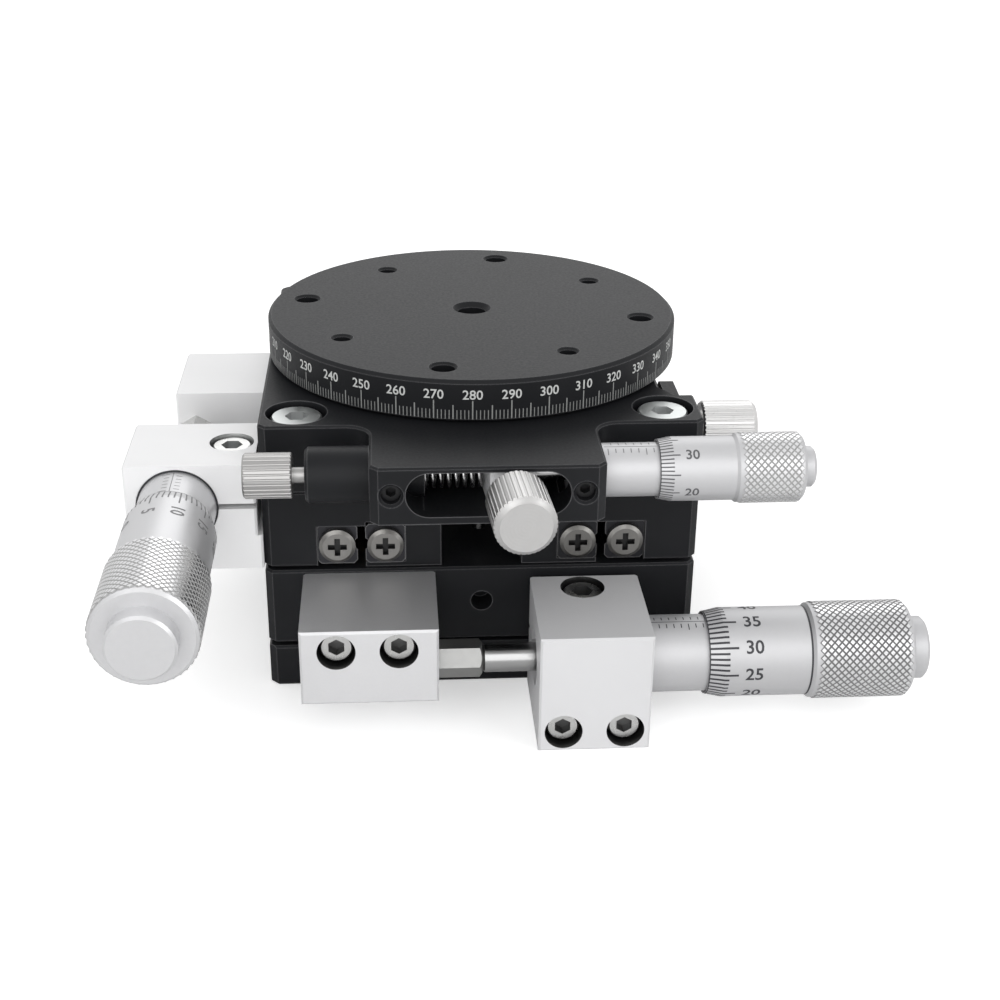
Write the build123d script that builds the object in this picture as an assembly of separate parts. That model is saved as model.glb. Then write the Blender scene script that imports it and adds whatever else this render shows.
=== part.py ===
"""Manual X, Y and rotation stage with three micrometer heads, in millimetres.

+Z is up and +X to the right. -Y is the side with the nose and the fine micrometer.
The origin is where the axis of the rotary table meets the underside of the foot.
Every piece is drawn at rest: both slides centred, the tangent arm turned by arm_rest.
"""
import math
import os
from dataclasses import dataclass

from build123d import *

upward = (Align.CENTER, Align.CENTER, Align.MIN)

# Plates of the stack
side = 60.0
corner = 1.0
fine_edge = 0.3
foot_top = 6.4
stage_gap = 0.6
stage_pitch = 12.0
x_table_top = foot_top + stage_pitch
y_table_top = x_table_top + stage_pitch
rotary_height = 9.6
rotary_top = y_table_top + rotary_height
half = side / 2
foot_bolt_half = 25.0
foot_bolt_radius = 1.65
foot_bolt_depth = 5.2

# Crossed-roller ways, the same on both slides
travel = 6.5
rail_width = 5.5
rail_height = 6.0
rail_gap = 1.1
rail_length = 58.6
rail_ledge = 0.7
rail_bevel = 0.5
inner_rail_inside = 10.55
rib_inside = 5.6
rib_short = 0.4
ceiling_relief = 0.6
roller = 1.98
roller_fit = 0.02
roller_pitch = 4.0
rollers_per_row = 9
cage_thickness = 0.5
cage_height = 4.4
cage_window = 0.12
rail_mid = inner_rail_inside + rail_width + rail_gap / 2
outer_rail_outside = inner_rail_inside + 2 * rail_width + rail_gap

# Screws and running fits
tap_fit = 0.05
thread_fit = 0.06
contact_gap = 0.05
seat_relief = 0.65

# Large micrometer heads of the X and Y slides, and the small one of the fine rotation
large_sleeve = 5.25
large_spindle = 2.0
large_thimble = 6.1
large_knurl = 6.5
large_knurl_at = 14.4
large_thimble_length = 28.0
large_thimble_wall = 4.8
x_axis_y = -39.8
x_axis_z = foot_top + 3.3
y_axis_x = -41.2
y_axis_z = y_table_top - 1.95
fine_axis_y = -37.0
fine_axis_z = y_table_top + 5.75

# X micrometer block on the foot and anvil block on the X table
x_block_left = 6.65
x_block_width = 15.0
x_block_front = -48.4
x_block_top = x_table_top - 1.2
block_relief = 1.0
x_anvil_right = -6.5
x_anvil_width = 18.2
x_anvil_front = -46.4
x_anvil_top = x_table_top - 0.5
x_anvil_screw_z = x_anvil_top - 3.0
x_anvil_screw_pitch = 8.2
x_anvil_pin_out = 6.0
block_screw_z = 3.0
block_screw_pitch = 8.3
clamp_screw_inset = 4.2
slit = 0.8
block_chamfer = 0.3
anvil_pin_radius = 2.6
anvil_tail_radius = 1.6

# Y micrometer block on the Y table and anvil block on the X table
y_block_left = -48.2
y_block_depth = 14.6
y_block_top = y_axis_z + 6.05
y_block_seat_top = x_table_top + 5.6
y_block_screw_z = x_table_top + 3.1
y_block_screw_pitch = 7.4
y_anvil_left = -44.0
y_anvil_front = -3.8
y_anvil_length = 17.0
y_anvil_bottom = x_table_top - 5.0
y_anvil_screw_z = x_table_top - 2.2
y_anvil_screw_pitch = 8.2
y_anvil_pin_out = 4.2

# Rotary base, its nose and the pocket in it
nose_half = 15.1
nose_front = -44.0
nose_bottom = y_table_top + 1.7
nose_chamfer = 1.1
nose_fillet = 3.2
slot_half = 10.55
slot_bottom = nose_bottom + 1.0
slot_top = rotary_top - 0.8
slot_depth = 12.0
channel_half = 8.2
channel_back = -14.0
slot_mouth = 2.0
side_cut = 25.6
side_cut_half = 20.5
side_cut_corner = 3.1
pocket_radius = 22.3
pocket_floor = y_table_top + 2.2
ear_screw = 25.0
ear_counterbore = 4.2
ear_seat_depth = 3.2
set_screw_x = 12.4
set_screw_radius = 1.25
set_screw_length = 2.6
set_screw_socket = 1.2

# Rotary table and its crossed-roller bearing
table_radius = half
table_gap = 0.3
table_thickness = 5.8
table_top = rotary_top + table_gap + table_thickness
table_chamfer = 0.5
table_turn = -11.7
spigot_outer = 17.0
spigot_bottom = pocket_floor + 0.8
spigot_lip = 12.6
m4_circle = 25.0
m4_tap = 1.65
m3_circle = 16 * math.sqrt(2)
m3_tap = 1.25
hole_chamfer = 0.35
centre_hole = 2.15
centre_depth = 4.2
post_radius = 8.0
post_shoulder = 9.2
bearing_bottom = pocket_floor + 1.6
bearing_top = rotary_top - 1.4
bearing_outer = 14.0
bearing_pitch_radius = 11.0
bearing_race_gap = 1.6
bearing_roller_count = 16
retainer_thickness = 0.8
retainer_stem = 2.0
retainer_stem_length = 4.5

# Clamp ring, tangent arm and clamp screw
arm_rest = 4.3
arm_width = 6.0
arm_front = -43.2
arm_seat = -20.8
ring_room = 0.7
ring_outer = pocket_radius - ring_room
ring_fit = 0.06
ring_bottom = pocket_floor + 1.0
ring_top = rotary_top - 1.2
arm_bottom = slot_bottom + 0.3
arm_top = slot_top - 0.3
arm_bore = 1.55
arm_mouth = 2.2
clamp_rod = 1.45
clamp_knob_back = -45.3
shoe_length = 1.5

# Spring plunger and lock screw on the left of the nose
housing_radius = 3.7
housing_out = 8.3
housing_stem = 3.0
housing_end = -8.0
housing_bore = 2.25
spring_seat = -12.0
spring_outer = 2.0
spring_wire = 0.45
spring_coils = 11
lock_rod = 1.05
lock_neck = 1.7

# Fluted knobs and lock plates
large_knob_radius = 4.0
large_knob_length = 8.5
small_knob_radius = 3.0
small_knob_length = 6.3
flute_radius = 0.17
flute_pitch = 0.68
small_knob_bevel = 0.3
large_knob_bevel = 0.7
lock_plate = 2.2
lock_plate_half = 11.0
lock_plate_above = 3.9
lock_slot = 1.65
lock_rod_radius = 1.45
lock_knob_gap = 0.3
lock_knob_neck = 2.5
x_lock_z = x_table_top - 5.3
front_tap_depth = 4.0
y_lock_z = y_table_top - 4.0

# Return springs of the two slides
return_spring_outer = 2.2
return_spring_wire = 0.6
return_spring_coils = 8
return_pin = 0.9
return_pin_at = 21.0
return_pin_root = 2.4
return_pin_out = 5.4


cross_arm = 0.3
cross_depth = 0.75
socket_depth = 0.65


@dataclass
class Screw:
    """A machine screw with a round head and a hexagon socket or a cross recess."""
    shank: float
    head: float
    head_height: float
    socket: float
    dome: float = 0.0
    cross: bool = False

    def body(self, seat, way, length):
        """The screw with the underside of its head at seat and its shank running along way."""
        plane = Plane(origin=seat, z_dir=way)
        top = self.head_height
        bevel = min(0.25, top / 4)
        rim = top - self.dome if self.dome else top - bevel
        crown = self.socket / 2 + 0.7 if self.dome else self.head - bevel
        outline = Polyline((0, -top), (crown, -top), (self.head, -rim), (self.head, 0),
                           (self.shank, 0), (self.shank, length - bevel),
                           (self.shank - bevel, length), (0, length), close=True)
        solid = revolve(Plane.XZ * make_face(outline), Axis.Z)
        if self.cross:
            bar = Pos(0, 0, -top) * Box(self.socket, self.socket * cross_arm, 2 * cross_depth * top)
            solid -= bar + Rot(0, 0, 90) * bar
        else:
            solid -= Pos(0, 0, -top) * extrude(RegularPolygon(self.socket / 2, 6), top * socket_depth)
        return plane * solid

    def hole(self, seat, way, length, mouth, counterbore):
        """The hole for the screw: a counterbore up to mouth above the seat and a tapped bore."""
        plane = Plane(origin=seat, z_dir=way)
        bore = Cylinder(self.shank + tap_fit, length, align=upward)
        if mouth:
            bore += Pos(0, 0, -mouth) * Cylinder(counterbore, mouth, align=upward)
        return plane * bore


block_screw = Screw(shank=1.25, head=2.2, head_height=2.4, socket=2.4)
clamp_screw = Screw(shank=1.25, head=2.7, head_height=2.8, socket=3.0)
ear_screw_size = Screw(shank=2.0, head=3.5, head_height=2.7, socket=3.2)
end_screw = Screw(shank=0.95, head=2.5, head_height=1.05, socket=2.6, dome=0.3, cross=True)
counterbore_fit = 0.35
open_above = 5.0
block_screw_recess = 1.4
block_seat_depth = block_screw.head_height + block_screw_recess
block_screw_bite = 6.0
end_screw_length = 4.0
clamp_screw_length = 8.0


@dataclass
class Micrometer:
    """Sizes of a micrometer head, measured along its axis from the face of its block."""
    sleeve: float
    stem: float
    stem_in: float
    shoulder_in: float
    sleeve_out: float
    spindle: float
    spindle_in: float
    tip_rise: float
    thimble: float
    knurl: float
    thimble_start: float
    bevel: float
    knurl_start: float
    thimble_end: float
    wall: float
    cap: float
    cap_length: float


def large_micrometer(tip, start):
    """The 13 mm head: tip is how far the spindle reaches inwards, start where the thimble begins."""
    return Micrometer(sleeve=large_sleeve, stem=3.9, stem_in=12.6, shoulder_in=0.9,
                      sleeve_out=start + large_knurl_at + 1.0, spindle=large_spindle, spindle_in=tip,
                      tip_rise=0,
                      thimble=large_thimble, knurl=large_knurl, thimble_start=start, bevel=2.2,
                      knurl_start=start + large_knurl_at, thimble_end=start + large_thimble_length,
                      wall=large_thimble_wall, cap=4.3, cap_length=2.6)


x_head = large_micrometer(tip=x_block_left + x_block_width - (x_anvil_right + x_anvil_pin_out) - contact_gap,
                          start=8.1)
y_head = large_micrometer(tip=-(-half) + (y_anvil_front - y_anvil_pin_out) - contact_gap, start=6.8)


def box(x0, x1, y0, y1, z0, z1):
    """A box given by its faces."""
    return Pos((x0 + x1) / 2, (y0 + y1) / 2, (z0 + z1) / 2) * Box(abs(x1 - x0), abs(y1 - y0), abs(z1 - z0))


def rod(start, way, length, radius):
    """A round bar from start along way."""
    return Plane(origin=start, z_dir=way) * Cylinder(radius, length, align=upward)


def turned(points):
    """A body turned about Z from its half outline, given as (radius, height) points."""
    return revolve(Plane.XZ * make_face(Polyline(*points, close=True)), Axis.Z)


def along_x(shape):
    """Turns a shape drawn for a slide along Y so that it runs along X, one stage lower."""
    return Pos(0, 0, -stage_pitch) * Rot(0, 0, -90) * shape


def mirrored_x(shape):
    return mirror(shape, about=Plane.YZ)


# The way of one slide, drawn for travel along Y with its floor at x_table_top

way_floor = x_table_top
ledge_top = way_floor + rail_ledge
rail_top = ledge_top + rail_height
rail_centre = ledge_top + rail_height / 2
relief_top = rail_top + ceiling_relief


def rail_profile():
    """Cross-section of the right inner rail in X and Z, with its V towards +X."""
    face_x = inner_rail_inside + rail_width
    reach = roller / math.sqrt(2) + roller_fit * math.sqrt(2) - rail_gap / 2
    left, low, high = inner_rail_inside, ledge_top, rail_top
    return [(left + rail_bevel, low), (face_x - rail_bevel, low), (face_x, low + rail_bevel),
            (face_x, rail_centre - reach), (face_x - reach, rail_centre), (face_x, rail_centre + reach),
            (face_x, high - rail_bevel), (face_x - rail_bevel, high), (left + rail_bevel, high),
            (left, high - rail_bevel), (left, low + rail_bevel)]


def rail_bar(points):
    face = Plane.XZ * make_face(Polyline(*points, close=True))
    return Pos(0, rail_length / 2, 0) * extrude(face, rail_length)


def end_screw_seat(x, end):
    return (x, end * rail_length / 2, rail_centre)


def end_screws(x):
    """The four cross-head screws in the ends of the rails at plus and minus x."""
    return [end_screw.body(end_screw_seat(sx * x, end), (0, -end, 0), end_screw_length)
            for sx in (-1, 1) for end in (-1, 1)]


def rails(points, x):
    bar = rail_bar(points)
    pair = [bar, mirrored_x(bar)]
    holes = [end_screw.hole(end_screw_seat(sx * x, end), (0, -end, 0), end_screw_length + 0.4, 0, 0)
             for sx in (-1, 1) for end in (-1, 1)]
    return [piece - holes for piece in pair]


inner_rail_x = inner_rail_inside + rail_width / 2
outer_rail_x = outer_rail_outside - rail_width / 2


def inner_rails():
    return rails(rail_profile(), inner_rail_x)


def outer_rails():
    return rails([(2 * rail_mid - x, z) for x, z in rail_profile()], outer_rail_x)


def way_core():
    """Ledges and ribs that carry the two inner rails, with the spring channel between the ribs."""
    ledge = box(rib_inside, inner_rail_inside + rail_width, -half + corner, half - corner,
                way_floor - 0.5, ledge_top)
    rib = box(rib_inside, inner_rail_inside, -half + corner, half - corner, way_floor - 0.5,
              rail_top - rib_short)
    right = ledge + rib
    return right + mirrored_x(right)


def way_hollow():
    """What is cut out of the underside of the upper plate for rails, ribs and springs."""
    low = way_floor + stage_gap - 1
    seat = box(-outer_rail_outside, outer_rail_outside, -half - 1, half + 1, low, rail_top)
    return seat + box(-(rail_mid - rail_gap / 2 - 0.05), rail_mid - rail_gap / 2 - 0.05, -half - 1,
                      half + 1,
                      low, relief_top)


def roller_at(x, y, tilt):
    size = roller
    bar = Cylinder(size / 2, size - 0.06)
    return Pos(x, y, rail_centre) * Rot(0, tilt, 0) * bar


def roller_rows():
    first = -(rollers_per_row - 1) / 2
    return [roller_at(sx * rail_mid, (first + k) * roller_pitch, 45 if (k + (sx > 0)) % 2 else -45)
            for sx in (-1, 1) for k in range(rollers_per_row)]


def cage_strips():
    """The two thin strips with a window round each roller."""
    length = rollers_per_row * roller_pitch + 1.0
    first = -(rollers_per_row - 1) / 2
    tall = roller * math.sqrt(2) + 2 * cage_window
    strips = []
    for sx in (-1, 1):
        strip = Pos(sx * rail_mid, 0, rail_centre) * Box(cage_thickness, length, cage_height)
        windows = [Pos(sx * rail_mid, (first + k) * roller_pitch, rail_centre)
                   * Box(2, roller + 2 * cage_window, tall) for k in range(rollers_per_row)]
        strips.append(strip - windows)
    return strips


# Springs

def coil_spring(outer, wire, coils, length):
    """A coil spring along +Z from 0 to length, starting and ending at +X."""
    path = Pos(0, 0, wire / 2) * Helix(pitch=(length - wire) / coils, height=length - wire,
                                       radius=outer - wire / 2)
    profile = Plane(origin=path @ 0, z_dir=path % 0) * RegularPolygon(wire / 2, 6)
    return sweep(profile, path=path, is_frenet=True)


def spring_loop(radius, wire):
    """End loop of an extension spring below z = 0: a straight leg at +X and a half ring."""
    leg = rod((radius, 0, -radius), (0, 0, 1), radius + wire, wire / 2)
    return leg + Pos(0, 0, -radius) * Rot(-90, 0, 0) * Torus(radius, wire / 2, major_angle=180, align=None)


def return_spring():
    """The extension spring in the channel, looped round a pin of the upper and a pin of the lower plate."""
    wire = return_spring_wire
    radius = return_spring_outer - wire / 2
    pin_below = 2 * radius - wire / 2 - return_pin - contact_gap
    length = 2 * (return_pin_at - pin_below)
    loop = spring_loop(radius, wire)
    far = Pos(0, 0, length) * mirror(loop, about=Plane.XY)
    coil = coil_spring(return_spring_outer, wire, return_spring_coils, length)
    return Pos(0, -length / 2, spring_z) * Rot(-90, 0, 0) * (coil + loop + far)


spring_z = way_floor + 3.4


# Plates

def plate(z0, z1):
    """A square plate with chamfered upright corners and fine edges."""
    body = box(-half, half, -half, half, z0, z1)
    body = chamfer(body.edges().filter_by(Axis.Z), corner)
    rims = body.edges().filter_by_position(Axis.Z, z0, z0) + body.edges().filter_by_position(Axis.Z, z1, z1)
    return chamfer(rims, fine_edge)


def base_plate():
    foot = plate(0, foot_top) + along_x(way_core())
    foot -= [Pos(x, y, 0) * Cylinder(foot_bolt_radius, foot_bolt_depth, align=upward)
             for x in (-foot_bolt_half, foot_bolt_half) for y in (-foot_bolt_half, foot_bolt_half)]
    foot -= block_screw_holes() + lock_plate_holes_x()
    foot -= along_x(lower_pin_hole())
    return foot


def x_table_plate():
    body = plate(foot_top + stage_gap, x_table_top) - along_x(way_hollow())
    body += way_core()
    body -= x_anvil_holes() + y_anvil_holes() + lock_plate_holes_y()
    body -= [lower_pin_hole(), along_x(upper_pin_hole()), x_lock_tap(), front_tap()]
    return body


def y_table_plate():
    body = plate(x_table_top + stage_gap, y_table_top) - way_hollow()
    body -= y_block_holes() + ear_screw_holes()
    body -= [upper_pin_hole(), y_lock_tap()]
    return body


def lower_pin():
    """Spring pin standing in the channel of the lower plate, at the +Y end."""
    return rod((0, return_pin_at, way_floor - return_pin_root), (0, 0, 1),
               return_pin_root + return_pin_out, return_pin)


def lower_pin_hole():
    return rod((0, return_pin_at, way_floor - return_pin_root), (0, 0, 1), return_pin_root,
               return_pin + tap_fit)


def upper_pin():
    """Spring pin hanging from the upper plate, at the -Y end."""
    return rod((0, -return_pin_at, relief_top + return_pin_root), (0, 0, -1),
               return_pin_root + return_pin_out, return_pin)


def upper_pin_hole():
    return rod((0, -return_pin_at, relief_top + return_pin_root), (0, 0, -1), return_pin_root,
               return_pin + tap_fit)


# Micrometer heads, drawn along +Z from the face of the block

def head_sleeve(m):
    bore = m.spindle + tap_fit
    return turned([(bore, -m.stem_in), (m.stem, -m.stem_in), (m.stem, -m.shoulder_in),
                   (m.sleeve, -m.shoulder_in),
                   (m.sleeve, m.sleeve_out), (bore, m.sleeve_out)])


def head_spindle(m):
    tip = 0.3
    seat = m.thimble_end - m.wall
    rim = -m.spindle_in + m.tip_rise
    return turned([(0, -m.spindle_in), (m.spindle - tip, rim), (m.spindle, rim + tip),
                   (m.spindle, seat), (m.spindle * 0.7, seat), (m.spindle * 0.7, m.thimble_end - 1),
                   (0, m.thimble_end - 1)])


def head_thimble(m):
    inside = m.sleeve + 0.25
    hole = m.spindle * 0.7 + tap_fit
    seat = m.thimble_end - m.wall
    edge = 0.4
    return turned([(inside, m.thimble_start), (inside + 0.12, m.thimble_start),
                   (m.thimble, m.thimble_start + m.bevel), (m.thimble, m.knurl_start - edge),
                   (m.knurl, m.knurl_start), (m.knurl, m.thimble_end - edge),
                   (m.knurl - edge, m.thimble_end),
                   (hole, m.thimble_end), (hole, seat), (inside, seat)])


def head_cap(m):
    edge = 0.35
    end = m.thimble_end + m.cap_length
    stem = m.spindle * 0.7
    return turned([(0, m.thimble_end - 0.95), (stem, m.thimble_end - 0.95), (stem, m.thimble_end),
                   (m.cap, m.thimble_end), (m.cap, end - edge), (m.cap - edge, end), (0, end)])


def head_bore(m, length):
    """The bore in a block for the stem, with a wider mouth at the face."""
    bore = Pos(0, 0, -length) * Cylinder(m.stem + tap_fit, length + 1, align=upward)
    mouth = m.shoulder_in + tap_fit
    return bore + Pos(0, 0, -mouth) * Cylinder(m.sleeve + 0.3, 2, align=upward)


x_block_right = x_block_left + x_block_width
x_head_plane = Plane(origin=(x_block_right, x_axis_y, x_axis_z), x_dir=(0, 1, 0), z_dir=(1, 0, 0))
y_head_plane = Plane(origin=(y_axis_x, -half, y_axis_z), x_dir=(1, 0, 0), z_dir=(0, -1, 0))
fine_head_plane = Plane(origin=(nose_half, fine_axis_y, fine_axis_z), x_dir=(0, 1, 0), z_dir=(1, 0, 0))


def arm_side_x():
    """Where the right side of the tangent arm crosses the axis of the fine micrometer at rest."""
    turn = math.radians(arm_rest)
    out = (-fine_axis_y + arm_width / 2 * math.sin(turn)) / math.cos(turn)
    return arm_width / 2 * math.cos(turn) + out * math.sin(turn)


fine_head = Micrometer(sleeve=3.55, stem=housing_stem, stem_in=nose_half - slot_half,
                       shoulder_in=0, sleeve_out=16.0,
                       spindle=1.25, spindle_in=nose_half - arm_side_x() - contact_gap, tip_rise=0.13,
                       thimble=4.25,
                       knurl=4.55, thimble_start=7.3, bevel=1.7, knurl_start=17.7, thimble_end=26.5,
                       wall=4.0,
                       cap=2.7, cap_length=1.7)


# Blocks of the X micrometer

def block_screw_seats():
    mid = x_block_left + x_block_width / 2
    return [(mid + k * block_screw_pitch / 2, x_block_front + block_seat_depth, block_screw_z)
            for k in (-1, 1)]


def block_screw_length():
    return -half - (x_block_front + block_seat_depth) + block_screw_bite


def block_screw_holes():
    return [block_screw.hole(seat, (0, 1, 0), block_screw_length() + 0.3, open_above,
                             block_screw.head + counterbore_fit)
            for seat in block_screw_seats()]


def clamp_screw_seat_x():
    return (x_block_left + x_block_width / 2 - 0.5, -half - clamp_screw_inset, x_block_top - 3.4)


def micrometer_block_x():
    body = box(x_block_left, x_block_right, x_block_front, -half, 0, x_block_top)
    body -= box(x_block_left - 1, x_block_right + 1, -half - block_relief, -half + 1, foot_top - 0.2,
                x_block_top + 1)
    outer = body.edges().filter_by(Axis.X).filter_by_position(Axis.Y, x_block_front - 0.1,
                                                              x_block_front + 0.1)
    body = chamfer(outer + body.edges().filter_by(Axis.Z), block_chamfer)
    body -= x_head_plane * head_bore(x_head, x_block_width + 1)
    body -= box(x_block_left - 1, x_block_right + 1, x_axis_y, -half, x_axis_z - slit / 2,
                x_axis_z + slit / 2)
    body -= block_screw_holes()
    body -= clamp_screw.hole(clamp_screw_seat_x(), (0, 0, -1), clamp_screw_length + 0.4, open_above,
                             clamp_screw.head + counterbore_fit)
    return body


def x_anvil_seats():
    mid = x_anvil_right - x_anvil_width / 2 - 0.2
    return [(mid + k * x_anvil_screw_pitch / 2, x_anvil_front + block_seat_depth, x_anvil_screw_z)
            for k in (-1, 1)]


def x_anvil_screw_length():
    return -half - (x_anvil_front + block_seat_depth) + block_screw_bite - 1.0


def x_anvil_holes():
    return [block_screw.hole(seat, (0, 1, 0), x_anvil_screw_length() + 0.3, open_above,
                             block_screw.head + counterbore_fit)
            for seat in x_anvil_seats()]


def anvil_pin(out, inside):
    """Hexagonal anvil with a round tail, along +Z from the face of its block."""
    r = anvil_pin_radius
    head = extrude(RegularPolygon(r, 6), out)
    head -= turned([(r - 0.5, out), (r + 0.05, out - 0.4), (2 * r, out - 0.4), (2 * r, out)])
    return head + Pos(0, 0, -inside) * Cylinder(anvil_tail_radius, inside, align=upward)


def anvil_bore(inside):
    return Pos(0, 0, -inside - 0.2) * Cylinder(anvil_tail_radius + tap_fit, inside + 1, align=upward)


x_anvil_plane = Plane(origin=(x_anvil_right, x_axis_y, x_axis_z), x_dir=(0, 1, 0), z_dir=(1, 0, 0))
y_anvil_plane = Plane(origin=(y_axis_x, y_anvil_front, y_axis_z), x_dir=(0, 0, 1), z_dir=(0, -1, 0))
anvil_tail = 8.0


def anvil_block_x():
    body = box(x_anvil_right - x_anvil_width, x_anvil_right, x_anvil_front, -half, foot_top + stage_gap,
               x_anvil_top)
    front = body.edges().filter_by(Axis.X).filter_by_position(Axis.Y, x_anvil_front - 0.1,
                                                              x_anvil_front + 0.1)
    body = chamfer(front + body.edges().filter_by(Axis.Z), block_chamfer)
    body -= x_anvil_holes()
    return body - x_anvil_plane * anvil_bore(anvil_tail)


# Blocks of the Y micrometer

def y_block_seats():
    mid = -half + y_block_depth / 2
    return [(y_block_left + block_seat_depth, mid + k * y_block_screw_pitch / 2, y_block_screw_z)
            for k in (-1, 1)]


def y_block_screw_length():
    return -half - (y_block_left + block_seat_depth) + block_screw_bite


def y_block_holes():
    return [block_screw.hole(seat, (1, 0, 0), y_block_screw_length() + 0.3, open_above,
                             block_screw.head + counterbore_fit)
            for seat in y_block_seats()]


def clamp_screw_seat_y():
    return (-half - clamp_screw_inset, -half + y_block_depth / 2 + 0.7, y_block_top - 3.2)


def micrometer_block_y():
    bottom = x_table_top + stage_gap
    body = box(y_block_left, -half, -half, -half + y_block_depth, bottom, y_block_top)
    body -= box(-half - seat_relief, 0, -half - 1, 0, y_block_seat_top, y_block_top + 1)
    outer = body.edges().filter_by(Axis.Y).filter_by_position(Axis.X, y_block_left - 0.1,
                                                              y_block_left + 0.1)
    body = chamfer(outer + body.edges().filter_by(Axis.Z), block_chamfer)
    body -= y_head_plane * head_bore(y_head, y_block_depth + 1)
    body -= box(y_axis_x, 0, -half - 1, 0, y_axis_z - slit / 2, y_axis_z + slit / 2)
    body -= y_block_holes()
    body -= clamp_screw.hole(clamp_screw_seat_y(), (0, 0, -1), clamp_screw_length + 0.4, open_above,
                             clamp_screw.head + counterbore_fit)
    return body


def y_anvil_seats():
    mid = y_anvil_front + y_anvil_length / 2
    return [(y_anvil_left + block_seat_depth, mid + k * y_anvil_screw_pitch / 2, y_anvil_screw_z)
            for k in (-1, 1)]


def y_anvil_screw_length():
    return -half - (y_anvil_left + block_seat_depth) + block_screw_bite


def y_anvil_holes():
    return [block_screw.hole(seat, (1, 0, 0), y_anvil_screw_length() + 0.3, open_above,
                             block_screw.head + counterbore_fit)
            for seat in y_anvil_seats()]


def anvil_block_y():
    back = y_anvil_front + y_anvil_length
    body = box(y_anvil_left, -half, y_anvil_front, back, y_anvil_bottom, y_block_top)
    body -= box(-half - seat_relief, 0, y_anvil_front - 1, back + 1, x_table_top - 0.2, y_block_top + 1)
    outer = body.edges().filter_by(Axis.Y).filter_by_position(Axis.X, y_anvil_left - 0.1,
                                                              y_anvil_left + 0.1)
    body = chamfer(outer + body.edges().filter_by(Axis.Z), block_chamfer)
    body -= y_anvil_holes()
    return body - y_anvil_plane * anvil_bore(anvil_tail)


# Locks of the two slides

def fluted_knob(radius, length, bevel):
    """A knob along +Z from 0 to length, with straight flutes and bevelled ends."""
    body = turned([(0, 0), (radius - bevel / 2, 0), (radius, bevel / 2), (radius, length - bevel),
                   (radius - bevel, length), (0, length)])
    count = round(2 * math.pi * radius / flute_pitch)
    cutter = Pos(radius + flute_radius * 0.3, 0, -1) * Cylinder(flute_radius, length + 2,
                                                              align=upward)
    return body - [Rot(0, 0, 360 * k / count) * cutter for k in range(count)]


def thumb_screw(radius, length, bevel, shank_radius, shank, neck_radius, neck):
    """A knob from 0 outwards along +Z with its neck and shank running back along -Z."""
    return (fluted_knob(radius, length, bevel)
            + Pos(0, 0, -neck) * Cylinder(neck_radius, neck, align=upward)
            + Pos(0, 0, -shank) * Cylinder(shank_radius, shank, align=upward))


def lock_plate_body(seat_low, seat_high, top, slot_z):
    """A slotted lock plate against a face at x = half, thicker where it is screwed on."""
    body = box(half + 0.4, half + 0.4 + lock_plate, -lock_plate_half, lock_plate_half, seat_low, top)
    body += box(half, half + 0.4 + lock_plate, -lock_plate_half, lock_plate_half, seat_low, seat_high)
    body = fillet(body.edges().filter_by(Axis.X).filter_by_position(Axis.Z, top - 0.1, top + 0.1), 2.0)
    reach = travel + lock_slot
    slot = Plane(origin=(half - 1, 0, slot_z), x_dir=(0, 1, 0), z_dir=(1, 0, 0)) * extrude(
        SlotOverall(2 * reach + 0.6, 2 * lock_slot), 6)
    return body - slot - lock_plate_taps((seat_low, seat_high))


y_lock_seat = (y_anvil_bottom + 0.5, x_table_top - 0.2)
x_lock_seat = (0.4, foot_top - 0.2)
lock_screw_pitch = 15.0


def lock_plate_seats(seat):
    return [(half + 0.4 + lock_plate, k * lock_screw_pitch / 2, (seat[0] + seat[1]) / 2) for k in (-1, 1)]


small_screw = Screw(shank=0.95, head=1.9, head_height=1.2, socket=1.6, dome=0.7)
small_screw_length = 7.0


def lock_plate_taps(seat):
    return [small_screw.hole(at, (-1, 0, 0), small_screw_length + 0.3, 0, 0)
            for at in lock_plate_seats(seat)]


def to_back(shape):
    return Rot(0, 0, 90) * shape


def lock_plate_holes_x():
    return [to_back(hole) for hole in lock_plate_taps(x_lock_seat)]


def lock_plate_holes_y():
    return lock_plate_taps(y_lock_seat)


lock_knob_at = half + 0.4 + lock_plate + lock_knob_gap + lock_knob_neck
lock_tap_depth = 5.6


def lock_knob():
    """The slide lock along +X, with its knob starting at lock_knob_at."""
    shank = lock_knob_at - (half - lock_tap_depth + 0.3)
    knob = thumb_screw(large_knob_radius, large_knob_length, large_knob_bevel, lock_rod_radius, shank,
                       2.6, lock_knob_neck)
    return Plane(origin=(lock_knob_at, 0, 0), x_dir=(0, 1, 0), z_dir=(1, 0, 0)) * knob


def lock_tap():
    return rod((half + 1, 0, 0), (-1, 0, 0), lock_tap_depth + 1, lock_rod_radius + thread_fit)


def y_lock_tap():
    return Pos(0, 0, y_lock_z) * lock_tap()


def front_tap():
    """The second tap for the X lock, seen in the front of the X table."""
    return rod((0, -half - 1, x_lock_z), (0, 1, 0), front_tap_depth + 1, lock_rod_radius + thread_fit)


def x_lock_tap():
    return Pos(0, 0, x_lock_z) * to_back(lock_tap())


# Rotary base

def ear_seats():
    return [(x, y, rotary_top - ear_seat_depth) for x in (-ear_screw, ear_screw)
            for y in (-ear_screw, ear_screw)]


ear_screw_length = 12.0


def ear_screw_holes():
    return [ear_screw_size.hole(seat, (0, 0, -1), ear_screw_length + 0.4, open_above, ear_counterbore)
            for seat in ear_seats()]


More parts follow.
